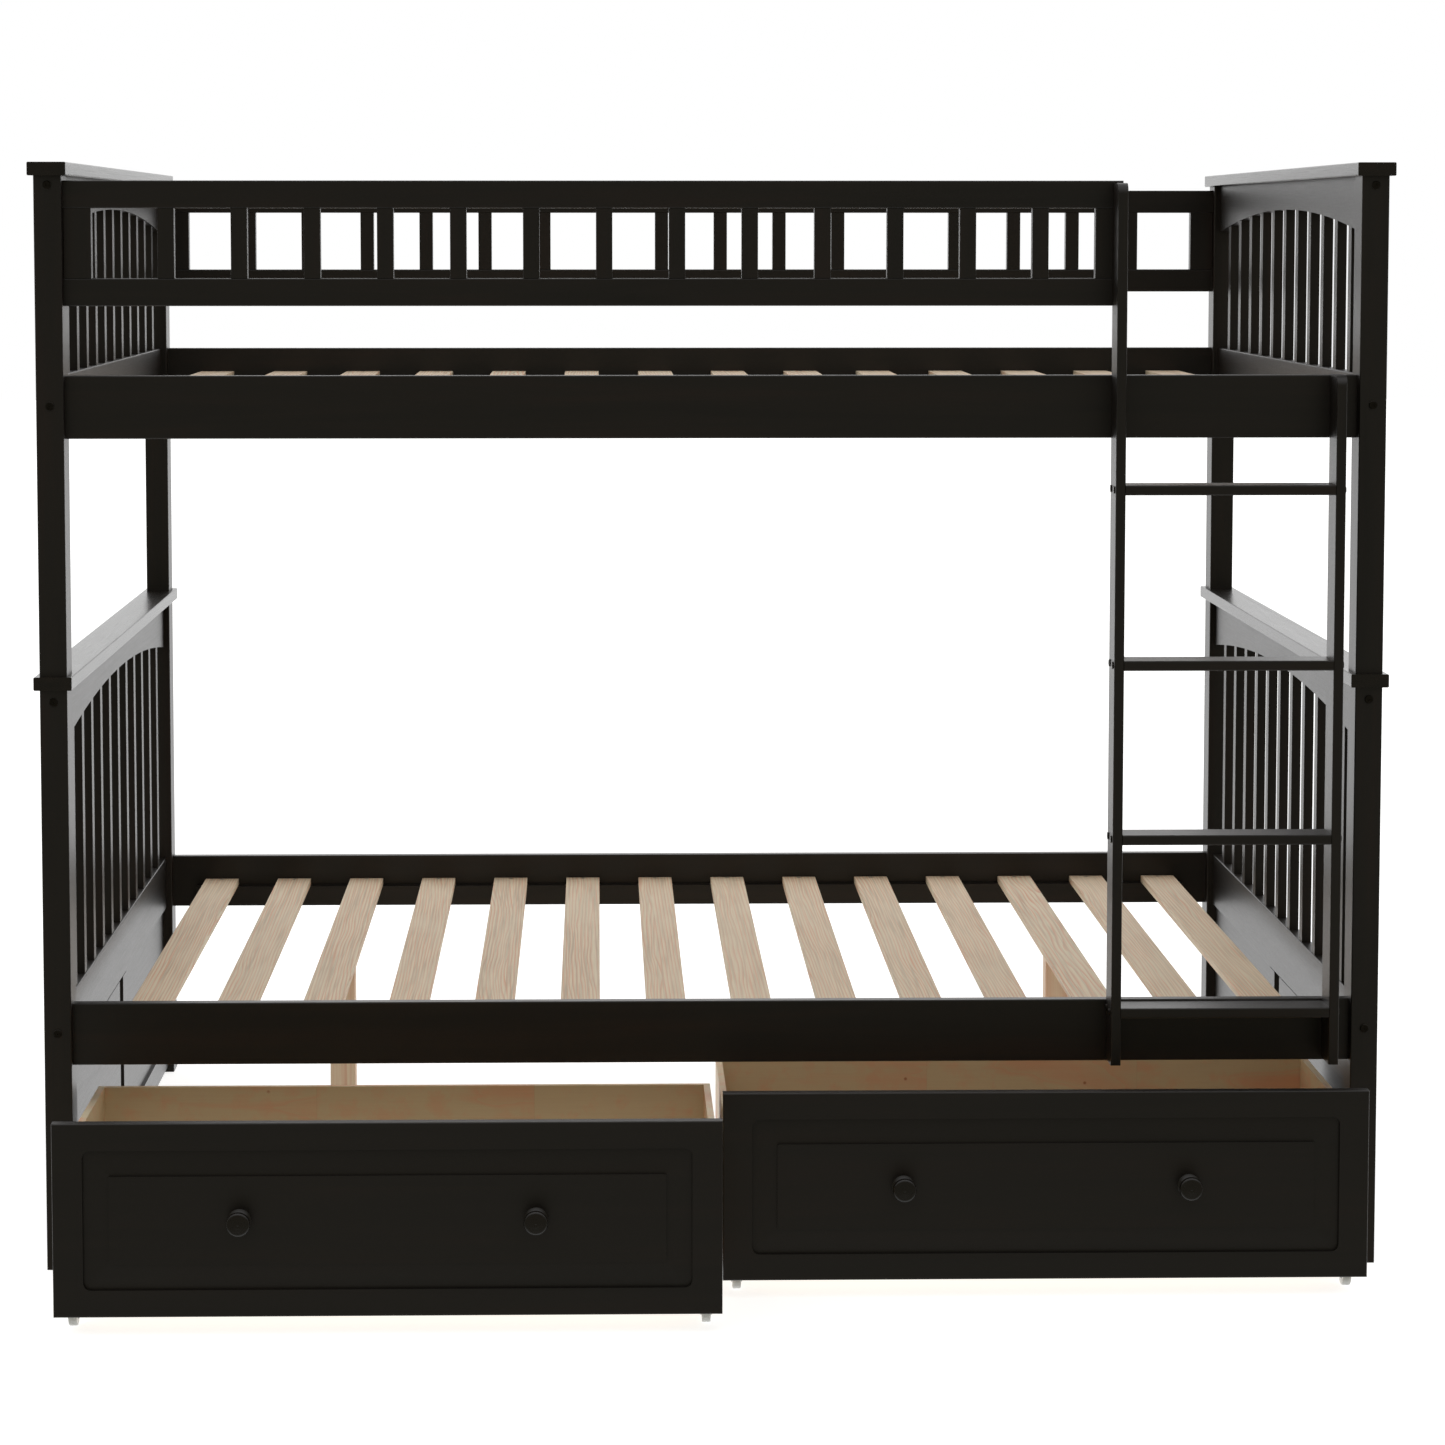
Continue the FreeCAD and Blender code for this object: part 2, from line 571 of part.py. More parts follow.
def ladder():
    save("ladder_stiles", [stile(LEFT_STILE_X, LEFT_STILE_TOP), stile(RIGHT_STILE_X, RIGHT_STILE_TOP)])
    rungs = []
    for top in RUNG_TOPS:
        rung = board(
            LEFT_STILE_X + STILE_THICKNESS, RIGHT_STILE_X,
            STILE_FRONT, FRONT_RAIL_Y,
            top - RUNG_THICKNESS, top,
            X_AXIS,
        )
        rungs.append(cut_all(rung, holes))
    save("ladder_rungs", rungs)


# ---- drawers -------------------------------------------------------------------------------------
def rounded_outline(x0, x1, z0, z1, radius, y):
    """A rectangle with rounded corners, in a plane across Y."""
    corners = ((x1, z0, -90), (x1, z1, 0), (x0, z1, 90), (x0, z0, 180))
    arc_points = []
    for corner_x, corner_z, start in corners:
        centre_x = corner_x - math.copysign(radius, corner_x - (x0 + x1) / 2)
        centre_z = corner_z - math.copysign(radius, corner_z - (z0 + z1) / 2)
        points = []
        for angle in (start, start + 45, start + 90):
            turn = math.radians(angle)
            points.append(V(centre_x + radius * math.cos(turn), y, centre_z + radius * math.sin(turn)))
        arc_points.append(points)
    lines_and_arcs = []
    for k, points in enumerate(arc_points):
        lines_and_arcs.append(Part.makeLine(arc_points[k - 1][2], points[0]))
        lines_and_arcs.append(Part.Arc(*points).toShape())
    return Part.Wire(lines_and_arcs)


def routed_border(x_middle, face_y):
    """The material routed away round the middle field: a step down, then a slope back up to the field."""
    half = FRONT_WIDTH / 2 - FIELD_INSET_X
    z0 = FRONT_BOTTOM + FIELD_INSET_Z
    z1 = FRONT_TOP - FIELD_INSET_Z
    inner_half = half - FIELD_BEVEL
    outer = rounded_outline(x_middle - half, x_middle + half, z0, z1, FIELD_CORNER, face_y + FIELD_STEP)
    inner_limits = (x_middle - inner_half, x_middle + inner_half, z0 + FIELD_BEVEL, z1 - FIELD_BEVEL)
    inner = rounded_outline(*inner_limits, FIELD_INNER_CORNER, face_y + FIELD_RISE)
    pocket = Part.Face(outer).extrude(Y_AXIS * -(FIELD_STEP + CUT_MARGIN))
    slope = Part.makeLoft([outer, inner], True, True)
    field = Part.Face(inner).extrude(Y_AXIS * -(FIELD_RISE + 2 * CUT_MARGIN))
    return pocket.cut(slope).cut(field)


def drawer_front(x_middle, face_y):
    half = FRONT_WIDTH / 2
    back_y = face_y + FRONT_THICKNESS
    slab = block(x_middle - half, x_middle + half, face_y, back_y, FRONT_BOTTOM, FRONT_TOP)
    face_edges = [edge for edge in slab.Edges if edge.CenterOfMass.y < face_y + CUT_MARGIN]
    back_edges = [edge for edge in edges_along(slab, Z_AXIS) if edge.CenterOfMass.y > face_y + CUT_MARGIN]
    slab = slab.makeFillet(EDGE_RADIUS, face_edges + back_edges)
    return slab.cut(routed_border(x_middle, face_y)).Solids[0]


def knob(x, y, z):
    """A turned knob: a round base, a narrow waist and a wide face."""
    centre = V(x, y, z)

    def at(radius, reach):
        return centre + V(radius, -reach, 0)

    foot = at(0, 0)
    base_edge = at(KNOB_BASE_RADIUS, 0)
    base_top = at(KNOB_BASE_RADIUS, KNOB_BASE_HEIGHT)
    waist = at(KNOB_WAIST_RADIUS, KNOB_WAIST_AT)
    rim_start = at(KNOB_RIM_RADIUS, KNOB_RIM_START)
    rim_end = at(KNOB_RIM_RADIUS, KNOB_RIM_END)
    face_edge = at(KNOB_FACE_RADIUS, KNOB_FACE_AT)
    tip = at(0, KNOB_REACH)
    edges = [
        Part.makeLine(foot, base_edge),
        Part.makeLine(base_edge, base_top),
        Part.Arc(base_top, at(*KNOB_NECK), waist).toShape(),
        Part.Arc(waist, at(*KNOB_FLARE), rim_start).toShape(),
        Part.makeLine(rim_start, rim_end),
        Part.Arc(rim_end, at(*KNOB_SHOULDER), face_edge).toShape(),
        Part.makeLine(face_edge, tip),
        Part.makeLine(tip, foot),
    ]
    return Part.Face(Part.Wire(edges)).revolve(centre, Y_AXIS, 360)


def knob_screw(x, seat_y, knob_y, z):
    """The screw that holds a knob from inside the drawer, and its hole."""
    length = seat_y - knob_y + KNOB_SCREW_DEPTH
    seat = V(x, seat_y, z)
    shank = rod(KNOB_SCREW_RADIUS, seat, Y_AXIS * -1, length)
    head = rod(KNOB_SCREW_HEAD_RADIUS, seat, Y_AXIS, BOLT_HEAD_HEIGHT)
    hole = rod(KNOB_SCREW_RADIUS + SCREW_PLAY, seat, Y_AXIS * -1, length + SCREW_PLAY)
    return head.fuse(shank).removeSplitter(), hole


def drawer_box(x_middle, face_y):
    """Two sides, an inner front, a back and two runners, grooved for the bottom, and the bottom itself."""
    outer = FRONT_WIDTH / 2 - BOX_INSET
    inner = outer - BOX_BOARD
    y0 = face_y + FRONT_THICKNESS
    y1 = face_y + BOX_BACK
    bottom = block(
        x_middle - inner - BOTTOM_GROOVE, x_middle + inner + BOTTOM_GROOVE,
        y0 + BOX_BOARD - BOTTOM_GROOVE, y1 - BOX_BOARD + BOTTOM_GROOVE,
        BOTTOM_Z, BOTTOM_Z + BOTTOM_THICKNESS,
    )
    boards = [
        block(x_middle - outer, x_middle - inner, y0, y1, BOX_UNDERSIDE, BOX_TOP),
        block(x_middle + inner, x_middle + outer, y0, y1, BOX_UNDERSIDE, BOX_TOP),
        block(x_middle - inner, x_middle + inner, y0, y0 + BOX_BOARD, BOX_UNDERSIDE, BOX_TOP),
        block(x_middle - inner, x_middle + inner, y1 - BOX_BOARD, y1, BOX_UNDERSIDE, BOX_TOP),
    ]
    boards = [cut_all(one, [bottom]) for one in boards]
    for side in (-1, 1):
        x0, x1 = sorted((x_middle + side * inner, x_middle + side * (inner - RUNNER_WIDTH)))
        boards.append(block(x0, x1, y0 + BOX_BOARD, y1 - BOX_BOARD, BOX_UNDERSIDE, BOTTOM_Z))
    return boards, bottom


def caster_fork(x, y):
    """A plate under the drawer with two cheeks that hold the axle, and the axle."""
    top = BOX_UNDERSIDE
    under_plate = top - PLATE_THICKNESS
    plate = block(
        x - PLATE_WIDTH / 2, x + PLATE_WIDTH / 2,
        y - PLATE_LENGTH / 2, y + PLATE_LENGTH / 2,
        under_plate, top,
    )
    cheek_inner = WHEEL_WIDTH / 2 + FORK_GAP
    cheek_outer = cheek_inner + FORK_SHEET
    fork = plate
    for side in (-1, 1):
        x0, x1 = sorted((x + side * cheek_inner, x + side * cheek_outer))
        cheek = block(x0, x1, y - FORK_HALF_WIDTH, y + FORK_HALF_WIDTH, WHEEL_RADIUS, under_plate)
        tip = rod(FORK_HALF_WIDTH, V(x0, y, WHEEL_RADIUS), X_AXIS, FORK_SHEET)
        fork = fork.fuse(cheek).fuse(tip)
    half_axle = cheek_outer + AXLE_OVERHANG
    axle = rod(AXLE_RADIUS, V(x - half_axle, y, WHEEL_RADIUS), X_AXIS, 2 * half_axle)
    return fork.removeSplitter().cut(axle).Solids[0], axle


def wheel(x, y):
    """A nylon wheel with rounded tread corners and a fine parting groove round its middle."""
    half = WHEEL_WIDTH / 2
    centre = V(x, y, WHEEL_RADIUS)
    tyre = rod(WHEEL_RADIUS, centre - X_AXIS * half, X_AXIS, WHEEL_WIDTH)
    rims = [edge for edge in tyre.Edges if len(edge.Vertexes) == 1]
    tyre = tyre.makeFillet(WHEEL_CORNER, rims)
    bore = rod(AXLE_RADIUS + AXLE_PLAY, centre - X_AXIS * half, X_AXIS, WHEEL_WIDTH)
    groove_start = centre - X_AXIS * (WHEEL_GROOVE_WIDTH / 2)
    ring = rod(WHEEL_RADIUS + CUT_MARGIN, groove_start, X_AXIS, WHEEL_GROOVE_WIDTH)
    core = rod(WHEEL_RADIUS - WHEEL_GROOVE_DEPTH, groove_start, X_AXIS, WHEEL_GROOVE_WIDTH)
    return tyre.cut(bore).cut(ring.cut(core)).Solids[0]


def drawer(name, x_middle, pull):
    face_y = -pull
    knob_z = (FRONT_BOTTOM + FRONT_TOP) / 2
    boards, bottom = drawer_box(x_middle, face_y)
    front = drawer_front(x_middle, face_y)
    knobs = []
    hardware = []
    screw_holes = []
    for x in (x_middle - KNOB_SPREAD, x_middle + KNOB_SPREAD):
        screw, hole = knob_screw(x, face_y + FRONT_THICKNESS + BOX_BOARD, face_y, knob_z)
        hardware.append(screw)
        screw_holes.append(hole)
        knobs.append(knob(x, face_y, knob_z).cut(hole).Solids[0])
    wheel_x = FRONT_WIDTH / 2 - CASTER_FROM_END
    for end, from_face in (("front", FRONT_CASTER_Y), ("back", BACK_CASTER_Y)):
        for hand, side in SIDES:
            x = x_middle + side * wheel_x
            y = face_y + from_face
            hardware += caster_fork(x, y)
            save("%s_drawer_%s_%s_wheel" % (name, end, hand), [wheel(x, y)])
    save("%s_drawer_front" % name, [cut_all(front, screw_holes)])
    save("%s_drawer_box_boards" % name, [cut_all(one, screw_holes) for one in boards])
    save("%s_drawer_bottom" % name, [bottom])
    save("%s_drawer_knobs" % name, knobs)
    save("%s_drawer_hardware" % name, hardware)


# ---- the whole bed -------------------------------------------------------------------------------
os.makedirs("parts", exist_ok=True)
end_panel_bolts()
side_rail_bolts()
ladder_bolts()
rung_screws()
thread_nuts()
pins = stacking_pins()
save("bed_bolts", bolts)
save("barrel_nuts", nuts)
save("stacking_pins", pins)
posts()
caps()
end_panels()
skirts()
side_rails()
slat_decks()
centre_legs()
guard("back", -INNER_X, INNER_X, BACK_RAIL_Y, BACK_UPRIGHT_COUNT)
guard("front", -INNER_X, FRONT_GUARD_END_X, FRONT_RAIL_Y, FRONT_UPRIGHT_COUNT)
ladder()
drawer("left", LEFT_DRAWER_X, LEFT_DRAWER_PULL)
drawer("right", RIGHT_DRAWER_X, RIGHT_DRAWER_PULL)
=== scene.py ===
import json
import math

import bpy
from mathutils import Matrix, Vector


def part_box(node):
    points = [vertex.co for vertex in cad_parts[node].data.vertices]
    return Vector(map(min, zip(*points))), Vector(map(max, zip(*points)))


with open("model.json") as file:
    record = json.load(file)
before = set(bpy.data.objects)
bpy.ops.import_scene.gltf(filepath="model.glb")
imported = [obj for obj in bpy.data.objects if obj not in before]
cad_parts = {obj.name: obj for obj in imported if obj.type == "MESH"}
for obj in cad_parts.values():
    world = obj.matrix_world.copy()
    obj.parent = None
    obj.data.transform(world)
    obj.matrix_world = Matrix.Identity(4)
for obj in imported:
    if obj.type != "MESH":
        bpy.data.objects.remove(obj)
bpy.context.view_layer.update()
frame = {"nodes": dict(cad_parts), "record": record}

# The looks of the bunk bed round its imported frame: wood, metal and nylon, light, floor and camera. Metres.
# X runs along the mattresses, Y from the open front to the back, Z up, as in the frame.

FRONT_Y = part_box("lower_front_left_post")[0][1]

# ---- camera, light and floor ---------------------------------------------------------------------
CAMERA_X = -0.1734
CAMERA_DISTANCE = 5.7735       # in front of the front posts
CAMERA_HEIGHT = 1.5615
CAMERA_TURN = 1.21             # degrees towards +X
CAMERA_PITCH = 4.56            # degrees down
CAMERA_LENS = 96.74            # millimetres, as is the sensor's width
CAMERA_SENSOR = 36.0
CAMERA_SHIFT = (0.03, -0.125)
STUDIO_BACK = (1.5, 1.5, 1.5, 1)           # the wall behind the bed
STUDIO_FRONT = (0.212, 0.199, 0.155, 1)    # the dim, warm wall on the camera's side
STUDIO_TOP = (1.0, 1.0, 1.0, 1)
STUDIO_BOUNCE = (0.9, 0.9, 0.88, 1)        # light thrown back by the floor
FRONT_TO_BACK = (-0.3, 0.8)                # where one part of the studio turns into the next, from -1 to 1
WALL_TO_TOP = (0.25, 0.85)
WALL_TO_BOUNCE = (-0.40, -0.75)
WHITE = (1, 1, 1, 1)
FLOOR_SIZE = 60.0
FLOOR_GLOW = 0.75
FLOOR_TONE = (0.62, 0.62, 0.61, 1)
FLOOR_ROUGHNESS = 0.9

# ---- finishes ------------------------------------------------------------------------------------
# Fibres are so many to the metre across the grain and along it. The other patterns have so many features to
# the metre. A stretch below 1 draws a pattern out along the grain.
ESPRESSO_DARK = (0.0034, 0.0023, 0.0015, 1)
ESPRESSO_LIGHT = (0.0080, 0.0052, 0.0033, 1)
ESPRESSO_RED = (0.0150, 0.0066, 0.0040, 1)
ESPRESSO_FIBRES = (900.0, 9.0)
ESPRESSO_BANDS = 34.0
ESPRESSO_STRETCH = 0.06
LACQUER_SPECKS = 620.0
LACQUER_SPECK_DEPTH = 0.0003
LACQUER_ROUGHNESS = (0.36, 0.42)
LACQUER_IOR = 1.5
CAP_ROUGHNESS = (0.26, 0.32)
KNOB_ROUGHNESS = (0.24, 0.28)
FRONT_FIGURE = 0.35            # how much of the grain shows through the lacquer
KNOB_FIGURE = 0.2
STREAK_ROUGHNESS = 0.16        # how far the fibres change the lacquer's roughness
GRAIN_DEPTH = 0.0004           # of the relief of bare and of lacquered wood

PINE_PALE = (0.74, 0.64, 0.475, 1)
PINE_BAND = (0.74, 0.60, 0.43, 1)
PINE_LINE = (0.68, 0.37, 0.23, 1)
PINE_FIBRE = (0.47, 0.37, 0.26, 1)
PINE_FIBRES = (270.0, 4.0)
PINE_PITCH = 0.0050            # from one growth ring to the next
PINE_CLOUDS = 24.0
PINE_CLOUD_STRETCH = 0.2
PINE_ROUGHNESS = 0.62
BARE_IOR = 1.45
LEG_PALE = (0.90, 0.75, 0.58, 1)
LEG_LINE = (0.78, 0.48, 0.34, 1)
LEG_PITCH = 0.013
PLY_PALE = (0.76, 0.62, 0.43, 1)
PLY_LINE = (0.64, 0.47, 0.29, 1)
PLY_PITCH = 0.022

# A board is sawn beside the heart of its log, whose rings bend slowly and have small flaws.
RING_BENDS = 5.0
RING_BEND = 0.035
RING_BEND_STRETCH = 0.3
RING_FLAWS = 60.0
RING_FLAW = 0.010
RING_FLAW_STRETCH = 0.05
LOG_WIDTH = 0.14
HEART_ACROSS = 0.05
HEART_DEPTH = 0.045
HEART_TILT = 0.012             # how much nearer the heart comes along the board
DEPTH_BEND = 0.7               # the rings' bend in depth, as a share of their bend across

BOX_GROUND = (0.72, 0.61, 0.42, 1)
BOX_FIGURE = (0.80, 0.44, 0.28, 1)
BOX_KNOT = (0.42, 0.12, 0.06, 1)
BOX_SEAM = (0.55, 0.40, 0.24, 1)
BOX_LENGTH = 0.335             # of the pieces that a drawer board is jointed from, end to end
BOX_SIDE = 0.0105              # a drawer box's side boards, in from its ends
BOX_CELLS = 5.0                # to the metre across, to tell a drawer's boards apart
BOX_SPREAD = 3.0               # how far apart in the figure two pieces may be sawn
BOX_FIGURES = 11.0
BOX_FIGURE_STRETCH = 0.28
BOX_LINES = 7.0                # growth lines within the figure's whole range
BOX_BLOTCHES = 34.0
BOX_KNOTS = 7.0
BOX_FIBRES = (500.0, 12.0)
BOX_ROUGHNESS = 0.5

BLACK_STEEL = (0.030, 0.027, 0.023, 1)
ZINC_STEEL = (0.62, 0.62, 0.60, 1)
STEEL_ROUGHNESS = 0.32
STEEL_SPECKS = 420.0
NYLON_DULL = (0.80, 0.81, 0.80, 1)
NYLON_PALE = (0.90, 0.91, 0.90, 1)
NYLON_FLOWS = 60.0
NYLON_SPECKS = 900.0
NYLON_ROUGHNESS = (0.35, 0.5)
NYLON_SCATTER = 0.35
NYLON_SCATTER_LENGTH = (0.004, 0.004, 0.004)
FINE_DEPTH = 0.0002            # of the specks in metal and nylon

AXES = {"X": (0, 1, 2), "Y": (1, 2, 0), "Z": (2, 0, 1)}
EDGE = 0.001                   # keeps a node's outermost faces inside its cells
LOG_SPREAD = (7.0, 7.0, 7.0)   # how far apart in a tree two boards may be sawn
ROWS = {                       # how many separate boards of one node stand along X, Y and Z
    "spindles": (2, 11, 1),
    "slats": (14, 1, 1),
    "slat_ledgers": (1, 2, 2),
    "centre_support_legs": (2, 1, 1),
    "skirt_boards": (2, 1, 1),
    "skirt_panels": (2, 1, 1),
    "guard_rails": (1, 1, 2),
    "back_guard_uprights": (18, 1, 1),
    "front_guard_uprights": (15, 1, 1),
    "ladder_stiles": (2, 1, 1),
    "ladder_rungs": (1, 1, 4),
    "drawer_knobs": (2, 1, 1),
}
SINGLE = (1, 1, 1)


# ---- building blocks of a material ---------------------------------------------------------------
class Graph:
    """The nodes of a material or a world. Each call adds one node from its inputs and returns its output."""

    def __init__(self, owner):
        owner.use_nodes = True
        self.owner = owner
        self.tree = owner.node_tree

    def put(self, socket, value):
        if isinstance(value, bpy.types.NodeSocket):
            self.tree.links.new(value, socket)
        else:
            socket.default_value = value

    def add(self, kind, inputs=None, output=0, **settings):
        node = self.tree.nodes.new(kind)
        for name, value in settings.items():
            setattr(node, name, value)
        for key, value in (inputs or {}).items():
            self.put(node.inputs[key], value)
        return node.outputs[output]

    def math(self, operation, *values):
        return self.add("ShaderNodeMath", dict(enumerate(values)), operation=operation)

    def vector(self, operation, *values):
        return self.add("ShaderNodeVectorMath", dict(enumerate(values)), operation=operation)

    def position(self):
        return self.add("ShaderNodeTexCoord", output="Object")

    def split(self, vector):
        node = self.tree.nodes.new("ShaderNodeSeparateXYZ")
        self.tree.links.new(vector, node.inputs[0])
        return node.outputs

    def join(self, x, y, z):
        return self.add("ShaderNodeCombineXYZ", {0: x, 1: y, 2: z})

    def noise(self, where, scale, detail=3.0, roughness=0.5, distortion=0.0):
        inputs = {"Vector": where, "Scale": scale, "Detail": detail}
        inputs |= {"Roughness": roughness, "Distortion": distortion}
        return self.add("ShaderNodeTexNoise", inputs)

    def cells(self, where, scale):
        """The distance to the nearest of some points scattered over the first two coordinates."""
        inputs = {"Vector": where, "Scale": scale}
        return self.add("ShaderNodeTexVoronoi", inputs, "Distance", voronoi_dimensions="2D")

    def random(self, where):
        """Three random numbers that change only where the whole numbers of a place change."""
        return self.add("ShaderNodeTexWhiteNoise", {"Vector": where}, "Color", noise_dimensions="3D")

    def ramp(self, value, *stops):
        """A smooth run through (place, colour) stops."""
        node = self.tree.nodes.new("ShaderNodeValToRGB")
        self.tree.links.new(value, node.inputs[0])
        elements = node.color_ramp.elements
        while len(elements) < len(stops):
            elements.new(0.5)
        for element, (place, colour) in zip(elements, stops):
            element.position = place
            element.color = colour
        return node.outputs[0]

    def mix(self, share, a, b):
        """One colour running from a to b."""
        return self.add("ShaderNodeMix", {0: share, 6: a, 7: b}, 2, data_type="RGBA")

    def blend(self, share, a, b):
        """One number running from a to b."""
        return self.add("ShaderNodeMix", {0: share, 2: a, 3: b})

    def range(self, value, taken, given=(0.0, 1.0)):
        """A number carried from one range into another, and held at its ends."""
        inputs = dict(enumerate((value, *taken, *given)))
        return self.add("ShaderNodeMapRange", inputs)

    def bump(self, height, strength, distance, under=None):
        inputs = {"Height": height, "Strength": strength, "Distance": distance}
        if under is not None:
            inputs["Normal"] = under
        return self.add("ShaderNodeBump", inputs)

    def finish(self, **inputs):
        shader = self.tree.nodes["Principled BSDF"]
        for name, value in inputs.items():
            self.put(shader.inputs[name.replace("_", " ")], value)
        return self.owner


def board_random(graph, node):
    """Three random numbers for each separate board of a node."""
    low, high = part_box(node)
    counts = next((count for ending, count in ROWS.items() if node.endswith(ending)), SINGLE)
    corner = [low[k] - EDGE for k in range(3)]
    cell = [(high[k] - low[k] + 2 * EDGE) / counts[k] for k in range(3)]
    place = graph.vector("DIVIDE", graph.vector("SUBTRACT", graph.position(), corner), cell)
    own = graph.vector("FLOOR", place)
    number = float(sorted(frame["nodes"]).index(node))
    return graph.random(graph.vector("ADD", own, (number, 2.0 * number, 0.5)))


def board_place(graph, axis, random):
    """A point's place as (along, across, up) the grain, each board sawn from another place in its tree."""
    moved = graph.vector("MULTIPLY_ADD", random, LOG_SPREAD, graph.position())
    parts = graph.split(moved)
    return [parts[k] for k in AXES[axis]]


def stretched(graph, place, share):
    """A place whose run along the grain is scaled by a share."""
    along, across, up = place
    return graph.join(graph.math("MULTIPLY", along, share), across, up)


def fibres(graph, place, fine, long):
    """Fine streaks along the grain, 0 to 1: so many to the metre across it and along it."""
    return graph.noise(stretched(graph, place, long / fine), fine, detail=2.0, roughness=0.6)


# ---- wood ----------------------------------------------------------------------------------------
def espresso(graph, node, axis, figure=0.7, gloss=LACQUER_ROUGHNESS):
    """Near-black brown satin lacquer. Figure is how strongly the wood's grain shows through it."""
    random = board_random(graph, node)
    place = board_place(graph, axis, random)
    streak = fibres(graph, place, *ESPRESSO_FIBRES)
    slow = stretched(graph, place, ESPRESSO_STRETCH)
    band = graph.noise(slow, ESPRESSO_BANDS, detail=4.0, roughness=0.55, distortion=0.6)
    grain = graph.ramp(band, (0.30, ESPRESSO_DARK), (0.52, ESPRESSO_LIGHT), (0.72, ESPRESSO_RED))
    grain = graph.mix(graph.range(streak, (0.35, 0.75), (0.0, 0.5)), grain, ESPRESSO_DARK)
    own = graph.split(random)
    film = graph.mix(graph.range(own[1], (0.0, 1.0), (0.35, 0.65)), ESPRESSO_DARK, ESPRESSO_LIGHT)
    tone = graph.mix(figure, film, grain)
    speck = graph.noise(graph.position(), LACQUER_SPECKS, detail=1.0)
    roughness = graph.range(speck, (0.35, 0.65), gloss)
    sway = graph.math("SUBTRACT", streak, 0.5)
    roughness = graph.math("MULTIPLY_ADD", sway, STREAK_ROUGHNESS * figure, roughness)
    pores = graph.bump(streak, strength=0.10 * figure, distance=GRAIN_DEPTH)
    surface = graph.bump(speck, strength=0.25, distance=LACQUER_SPECK_DEPTH, under=pores)
    return graph.finish(Base_Color=tone, Roughness=roughness, Normal=surface, IOR=LACQUER_IOR)


def growth_rings(graph, place, pitch):
    """Place within a growth ring, 0 to 1, of a board sawn from a log whose heart lies below the board."""
    along, across, up = place
    bend = graph.noise(stretched(graph, place, RING_BEND_STRETCH), RING_BENDS, detail=2.0)
    flaw = graph.noise(stretched(graph, place, RING_FLAW_STRETCH), RING_FLAWS, detail=1.0)
    swing = graph.math("MULTIPLY", graph.math("SUBTRACT", bend, 0.5), RING_BEND)
    swing = graph.math("MULTIPLY_ADD", graph.math("SUBTRACT", flaw, 0.5), RING_FLAW, swing)
    side = graph.math("PINGPONG", graph.math("ADD", across, swing), LOG_WIDTH)
    side = graph.math("SUBTRACT", side, HEART_ACROSS)
    depth = graph.math("MULTIPLY_ADD", along, HEART_TILT, up)
    depth = graph.math("ADD", depth, graph.math("MULTIPLY", swing, DEPTH_BEND))
    depth = graph.math("ADD", graph.math("PINGPONG", depth, HEART_DEPTH), HEART_DEPTH)
    square = graph.math("ADD", graph.math("POWER", side, 2.0), graph.math("POWER", depth, 2.0))
    return graph.math("FRACT", graph.math("DIVIDE", graph.math("SQRT", square), pitch))


def pine(graph, node, axis, pitch, pale, band, line, fibre):
    """Planed, unfinished pine: growth lines, soft bands and short fibres."""
    random = board_random(graph, node)
    place = board_place(graph, axis, random)
    ring = growth_rings(graph, place, pitch)
    tone = graph.ramp(ring, (0.0, pale), (0.45, band), (0.80, line), (0.90, line), (1.0, pale))
    streak = fibres(graph, place, *PINE_FIBRES)
    tone = graph.mix(graph.range(streak, (0.44, 0.72), (0.0, 0.8)), tone, fibre)
    cloud = graph.noise(stretched(graph, place, PINE_CLOUD_STRETCH), PINE_CLOUDS, detail=2.0)
    tone = graph.mix(graph.range(cloud, (0.38, 0.66), (0.0, 0.4)), tone, pale)
    own = graph.split(random)
    tone = graph.mix(graph.range(own[2], (0.0, 1.0), (0.0, 0.22)), tone, band)
    surface = graph.bump(graph.math("ADD", streak, ring), strength=0.12, distance=GRAIN_DEPTH)
    return graph.finish(Base_Color=tone, Roughness=PINE_ROUGHNESS, Normal=surface, IOR=BARE_IOR)


